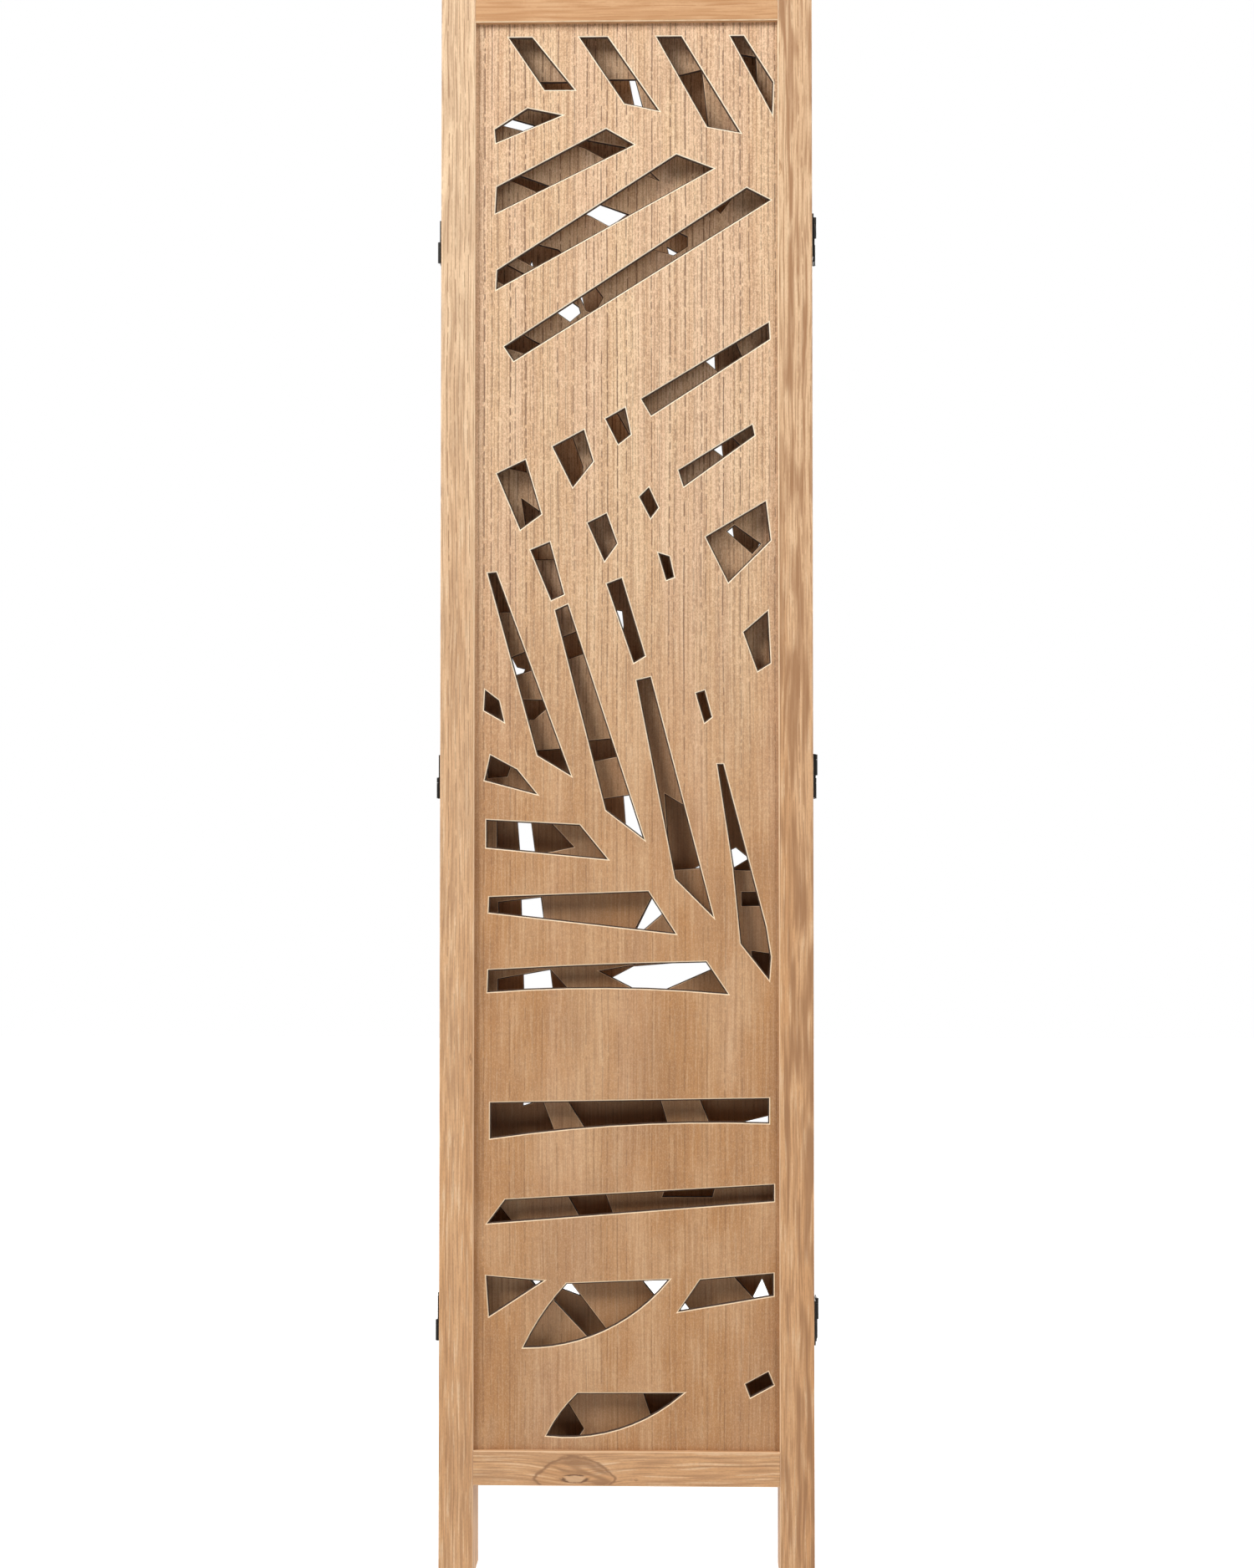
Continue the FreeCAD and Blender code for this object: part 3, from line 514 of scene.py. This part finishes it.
def merged_copy(name):
    """A node's mesh as its own piece, with whole faces in place of triangles."""
    clear_selection()
    piece = nodes[name].copy()
    piece.data = nodes[name].data.copy()
    piece.name = f"{name}_eased"
    bpy.context.collection.objects.link(piece)
    piece.select_set(True)
    bpy.context.view_layer.objects.active = piece
    bpy.ops.object.mode_set(mode="EDIT")
    bpy.ops.mesh.select_all(action="SELECT")
    bpy.ops.mesh.remove_doubles(threshold=MERGE_DISTANCE)
    bpy.ops.mesh.dissolve_limited(angle_limit=FLAT_ANGLE)
    bpy.ops.mesh.select_all(action="DESELECT")
    bpy.ops.object.mode_set(mode="OBJECT")
    return piece


# %% [markdown]
# Only the edges that a hand can reach are eased. Those of the tenons and the
# grooves lie inside another piece, so they are passed over. The bevel has three
# narrow facets. On a board the first one, nearest to the face, is sanded pale
# and painted paler still as a highlight, and the two that turn into the cut
# keep its scorch: that is the thin dark line inside every frond. The slopes are
# narrower on the leaves behind, whose slots lie closer together, and
# loop_slide is off so that their corners stay apart.

# %% Select and bevel
FACE_TILT = 0.99
SLOPE_TILT = 0.8
SIDE_TILT = 0.5
FACE, SLOPE, SIDE = range(3)


def sharp_edges(piece, wanted):
    """Select the edges between a broad face and a side where the test is true."""
    mesh = piece.data
    beside = {}
    for face in mesh.polygons:
        for key in face.edge_keys:
            beside.setdefault(key, []).append(abs(face.normal.y))
    count = 0
    for edge in mesh.edges:
        tilts = beside.get(edge.key, [])
        a, b = (mesh.vertices[index].co for index in edge.vertices)
        turns = len(tilts) == 2 and max(tilts) > FACE_TILT and min(tilts) < SIDE_TILT
        edge.select = turns and wanted(a, b)
        if edge.select:
            mesh.vertices[edge.vertices[0]].select = True
            mesh.vertices[edge.vertices[1]].select = True
            count += 1
    return count


def ease(name, wanted, width, finishes):
    """Stand a bevelled copy in for a node, with finishes for face, slope and side."""
    piece = merged_copy(name)
    piece.data.materials.clear()
    for finish in finishes:
        piece.data.materials.append(finish.material)
    has_side = len(finishes) > SIDE
    for face in piece.data.polygons:
        face.material_index = SIDE if has_side and abs(face.normal.y) < SIDE_TILT else FACE
        face.select = False
    bpy.context.scene.tool_settings.mesh_select_mode = (False, True, False)
    count = sharp_edges(piece, wanted)
    bpy.ops.object.mode_set(mode="EDIT")
    bpy.ops.mesh.bevel(
        offset=width, segments=3, profile=0.38, affect="EDGES", material=SLOPE, loop_slide=False
    )
    bpy.ops.object.mode_set(mode="OBJECT")
    for face in piece.data.polygons:
        if has_side and face.material_index == SLOPE and abs(face.normal.y) < SLOPE_TILT:
            face.material_index = SIDE
    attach(piece, name[:6])
    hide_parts(name)
    print(name, "eased along", count, "edges,", len(piece.data.polygons), "faces")


# %% [markdown]
# The test for an edge is its place. Inside the frame's opening lie the cuts of
# a board, on its border lie the stiles' inner edges, and beyond it their ends.

# %% Ease the boards
BOARD_EASE = {1: 0.0023, 2: 0.0016, 3: 0.0012}
OPENING_HALF = 0.163
OPENING_LOW = 0.134
OPENING_HIGH = 1.668
LEAF_PITCH = 0.0215


def in_opening(a, b):
    """True for an edge of a cut in the board, not for the board's own rim."""
    return all(
        abs(point.x) < OPENING_HALF and OPENING_LOW < point.z < OPENING_HIGH for point in (a, b)
    )


# The front board's sanded edges are painted near white: a painted highlight over real sanding.
front_edge = sanded_edge_painted_highlight("sanded_veneer_painted_highlight", CREAM, IVORY, 0.30)
rear_edge = sanded_edge_painted_highlight("rubbed_veneer", PALE, PALE, 0.50)
for number in (1, 2, 3):
    core = scorched_core(f"scorched_core_{number}", LEAF_PITCH * (number - 2))
    edge = front_edge if number == 1 else rear_edge
    board = f"leaf_{number}_infill"
    ease(board, in_opening, BOARD_EASE[number], (boards[board], edge, core))

# %% Ease the frames
STICK_EASE = 0.0011
NEAR = 0.0002
TOP_END = OPENING_HIGH + 0.03
SHORTEST_EDGE = 0.1


def on_stile(a, b):
    """True for a stile's long inner edges and for its ends."""
    at_inner = all(abs(abs(point.x) - OPENING_HALF) < NEAR for point in (a, b))
    at_end = abs(a.z - b.z) < NEAR and (a.z < NEAR or a.z > TOP_END)
    return at_inner or at_end


def on_rail(a, b):
    """True for the long edges of a rail between the stiles."""
    return abs(a.z - b.z) < NEAR and abs(a.x - b.x) > SHORTEST_EDGE


# The sticks' sanded edges are painted paler as a highlight, and paler towards the top as painted
# light.
stick_edge = sanded_edge_painted_highlight("sanded_stick_painted_highlight", PALE, CREAM, 0.55)
for name, wood in sticks.items():
    wanted = on_stile if name.endswith("stile") else on_rail
    ease(name, wanted, STICK_EASE, (wood, stick_edge))

# %% [markdown]
# ## Blackened hinges
# The hinges are pressed steel with a near-black bronze lacquer. Handling rubs
# it thin in places, so the colour and the gloss wander a little, and a fine
# brushed texture breaks up the highlight on the knuckles.

# %% Metal


def dark_metal(name, dark, worn, roughness, metallic):
    """Dark metal that handling has rubbed a little paler and glossier in places."""
    finish = Finish(name)
    x, y, z = finish.place()
    clouds = finish.noise(finish.vector(x * 160.0, y * 160.0, z * 90.0), detail=3.0)
    brushed = finish.noise(finish.vector(x * 1800.0, y * 1800.0, z * 120.0))
    rubbed = clouds.between(0.55, 0.75)
    finish.feed("Base Color", finish.blend(rubbed * 0.7, dark, worn))
    finish.feed("Roughness", roughness + brushed * 0.18 - rubbed * 0.08)
    finish.feed("Metallic", metallic + rubbed * 0.2)
    finish.bump(brushed, 0.25, 0.00008)
    return finish


plates = [name for name in nodes if name.endswith("_plate") or name.endswith("_link")]
pins = [name for name in nodes if name.endswith("_pins")]
lacquer = dark_metal(
    "hinge_lacquer", (0.012, 0.011, 0.010, 1.0), (0.050, 0.040, 0.032, 1.0), 0.22, 0.8
)
steel = dark_metal(
    "pin_steel", (0.060, 0.056, 0.052, 1.0), (0.190, 0.180, 0.170, 1.0), 0.26, 0.8
)
paint(lacquer, plates)
paint(steel, pins)

# %% [markdown]
# ## Screws
# Two countersunk screws hold each hinge plate. Only their flat heads show, with
# a cross recess. One head is modelled from a short cylinder: its rim is
# bevelled, and two thin bars are cut out of its top face to leave the cross.
# It is then copied to every plate.

# %% Model one screw head
HEAD_RADIUS = 0.0030
HEAD_HEIGHT = 0.0005
RIM_EASE = 0.00015
CROSS_REACH = 0.0017
CROSS_WIDTH = 0.0006
CROSS_DEPTH = 0.0004
CROSS_TURN = math.radians(20)


def model_screw_head():
    """A flat screw head at the origin, facing +X, with a cross cut into it."""
    clear_selection()
    bpy.ops.mesh.primitive_cylinder_add(
        vertices=32, radius=HEAD_RADIUS, depth=HEAD_HEIGHT, rotation=(0, math.pi / 2, 0)
    )
    head = bpy.context.active_object
    bpy.ops.object.transform_apply(location=True, rotation=True, scale=True)
    bevel = head.modifiers.new("eased_rim", "BEVEL")
    bevel.width = RIM_EASE
    bevel.segments = 2
    bpy.ops.object.modifier_apply(modifier=bevel.name)
    for turn in (0.0, math.pi / 2):
        clear_selection()
        bpy.ops.mesh.primitive_cube_add(size=1.0, location=(HEAD_HEIGHT / 2, 0, 0))
        slot = bpy.context.active_object
        slot.scale = (2 * CROSS_DEPTH, 2 * CROSS_REACH, CROSS_WIDTH)
        slot.rotation_euler = (turn + CROSS_TURN, 0, 0)
        bpy.ops.object.transform_apply(location=True, rotation=True, scale=True)
        clear_selection()
        head.select_set(True)
        bpy.context.view_layer.objects.active = head
        cut = head.modifiers.new("cross", "BOOLEAN")
        cut.operation = "DIFFERENCE"
        cut.object = slot
        bpy.ops.object.modifier_apply(modifier=cut.name)
        bpy.data.objects.remove(slot)
    bpy.ops.object.shade_smooth_by_angle(angle=math.radians(30))
    print("screw head:", len(head.data.polygons), "faces")
    return head


pattern_head = model_screw_head()

# %% [markdown]
# Each plate says where it is, so the screws are placed from its box. The end
# away from the pin is the flat part, and the two heads stand on its middle
# line, a third of the plate's height above and below its middle. No joiner
# leaves two screws at the same turn, so each head gets a turn of its own.

# %% Fit the screws
SCREW_STEP = 0.015
PLATE_FACE = 0.0016
HEAD_PROUD = 0.0001
FLAT_MIDDLE = 0.00755
TURN_BY_NUMBER = 37.0
TURN_BY_NAME = 11.0


def fit_screws(plate, body):
    """Two heads, all but flush with one plate's outer face."""
    low, high = (Vector(corner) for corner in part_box(plate))
    side = 1.0 if high.x > 0 else -1.0
    edge = low.x if side > 0 else high.x
    along = low.y + FLAT_MIDDLE if side > 0 else high.y - FLAT_MIDDLE
    middle = (low.z + high.z) / 2
    for number, step in enumerate((-SCREW_STEP, SCREW_STEP), start=1):
        head = pattern_head.copy()
        head.data = pattern_head.data.copy()
        head.name = f"{plate}_screw_{number}"
        bpy.context.collection.objects.link(head)
        face = edge + side * (PLATE_FACE + HEAD_PROUD - HEAD_HEIGHT / 2)
        degrees = TURN_BY_NUMBER * number + TURN_BY_NAME * len(plate)
        turn = Matrix.Rotation(math.radians(degrees), 4, "X")
        flip = Matrix.Rotation(math.pi if side < 0 else 0.0, 4, "Z")
        where = Matrix.Translation((face, along, middle + step))
        head.data.transform(where @ flip @ turn)
        head.data.materials.clear()
        head.data.materials.append(screw_steel.material)
        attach(head, body)


screw_steel = dark_metal(
    "screw_steel", (0.045, 0.040, 0.036, 1.0), (0.150, 0.130, 0.115, 1.0), 0.28, 0.8
)
screwed = [plate for plate in plates if plate.endswith("_plate")]
for plate in screwed:
    fit_screws(plate, plate[:6])
bpy.data.objects.remove(pattern_head)
print("screws fitted:", 2 * len(screwed))

# %% [markdown]
# ## The studio
# The divider stands on a white floor before a white ground. The floor takes the
# shadow as real paper would, and what the camera sees of it is lifted to white
# by a glow that lamps don't meet, so they needn't be stronger. The glow is full
# far out and weaker near the divider, where the shadow lies.

# %% Floor
WHITE = (1.0, 1.0, 1.0, 1.0)
BLACK = (0.0, 0.0, 0.0, 1.0)
clear_selection()
bpy.ops.mesh.primitive_plane_add(size=14.0, location=(0, 0, 0))
floor = bpy.context.active_object
floor.name = "studio_floor"


def only_seen(tree):
    """1 for rays from the camera, a mirror or glass, and 0 for light."""
    path = tree.nodes.new("ShaderNodeLightPath")
    seen = Value(tree, path.outputs["Is Camera Ray"])
    shine = Value(tree, path.outputs["Is Glossy Ray"])
    through = Value(tree, path.outputs["Is Transmission Ray"])
    return (seen + shine + through).clamped()


paper = Finish("studio_paper", Base_Color=(0.80, 0.80, 0.80, 1.0), Roughness=0.9)
floor_x, floor_y, floor_z = paper.place()
distance = (floor_x * floor_x + floor_y * floor_y).math("SQRT")
glow = 0.60 + distance.between(0.5, 2.2) * 0.40
paper.feed("Emission Color", paper.blend(glow, BLACK, WHITE))
paper.feed("Emission Strength", only_seen(paper.tree))
floor.data.materials.append(paper.material)
print("floor:", floor.dimensions[:2], "metres")

# %% [markdown]
# The world shows as plain white behind the divider. To light it gives only a
# fiftieth of that, just enough to keep the deepest cut-outs from going black.

# %% World
world = bpy.data.worlds.new("studio")
bpy.context.scene.world = world
world.use_nodes = True
sky = world.node_tree.nodes["Background"]
WORLD_LIGHT = 0.02
seen = only_seen(world.node_tree)
strength = seen * (1.0 - WORLD_LIGHT) + WORLD_LIGHT
sky.inputs["Color"].default_value = WHITE
world.node_tree.links.new(strength.socket, sky.inputs["Strength"])
print("world light:", WORLD_LIGHT)

# %% [markdown]
# Two soft lamps stand high in front, to the left and the right, the left one
# stronger. They make the tops of the leaves paler than their feet, and their
# slanting light leaves the leaves behind in shade. Two lamps at the sides, a
# little behind the divider, show its edges without shining into the cut-outs,
# and one behind lights the back.

# %% Lamps


def add_lamp(name, place, target, wide, high, power):
    """A soft lamp of so many metres by metres and watts, turned to a target."""
    lamp = bpy.data.lights.new(name, "AREA")
    lamp.shape = "RECTANGLE"
    lamp.size = wide
    lamp.size_y = high
    lamp.energy = power
    holder = bpy.data.objects.new(name, lamp)
    bpy.context.collection.objects.link(holder)
    holder.location = place
    holder.rotation_euler = (Vector(target) - Vector(place)).to_track_quat("-Z", "Y").to_euler()


add_lamp("key", (-2.3, -2.3, 3.2), (0, 0, 1.0), 1.8, 1.8, 132.0)
add_lamp("second", (2.3, -2.3, 3.2), (0, 0, 1.0), 1.8, 1.8, 78.0)
add_lamp("right_side", (2.6, 0.5, 1.6), (0, 0, 0.9), 1.4, 1.8, 22.0)
add_lamp("left_side", (-2.6, 0.5, 1.6), (0, 0, 0.9), 1.4, 1.8, 22.0)
add_lamp("back", (1.2, 2.8, 2.2), (0, 0, 0.9), 1.8, 1.6, 60.0)
print("lamps:", [lamp.name for lamp in bpy.data.lights])

# %% [markdown]
# ## Camera
# The picture was taken from about two and a half metres, a little below the
# middle of the divider and a hand's breadth to its right, tilted up and turned
# left by about a degree and a half each. The picture was then cut a few pixels
# off centre, and the lens shift says so.

# %% Camera
UP = math.radians(1.52)
LEFT = math.radians(1.37)
PICTURE_HEIGHT = 1876.0
SHIFT_PIXELS = -8.2
camera_data = bpy.data.cameras.new("camera")
camera_data.sensor_fit = "VERTICAL"
camera_data.sensor_height = 36.0
camera_data.lens = 54.0
camera_data.shift_x = SHIFT_PIXELS / PICTURE_HEIGHT
camera = bpy.data.objects.new("camera", camera_data)
bpy.context.collection.objects.link(camera)
camera.location = (0.0683, -2.5485, 0.777)
forward = Vector((-math.sin(LEFT) * math.cos(UP), math.cos(LEFT) * math.cos(UP), math.sin(UP)))
camera.rotation_euler = forward.to_track_quat("-Z", "Y").to_euler()
bpy.context.scene.camera = camera
bpy.context.scene.view_settings.view_transform = "Standard"
print("camera at", tuple(camera.location), "with a lens of", camera_data.lens, "mm")
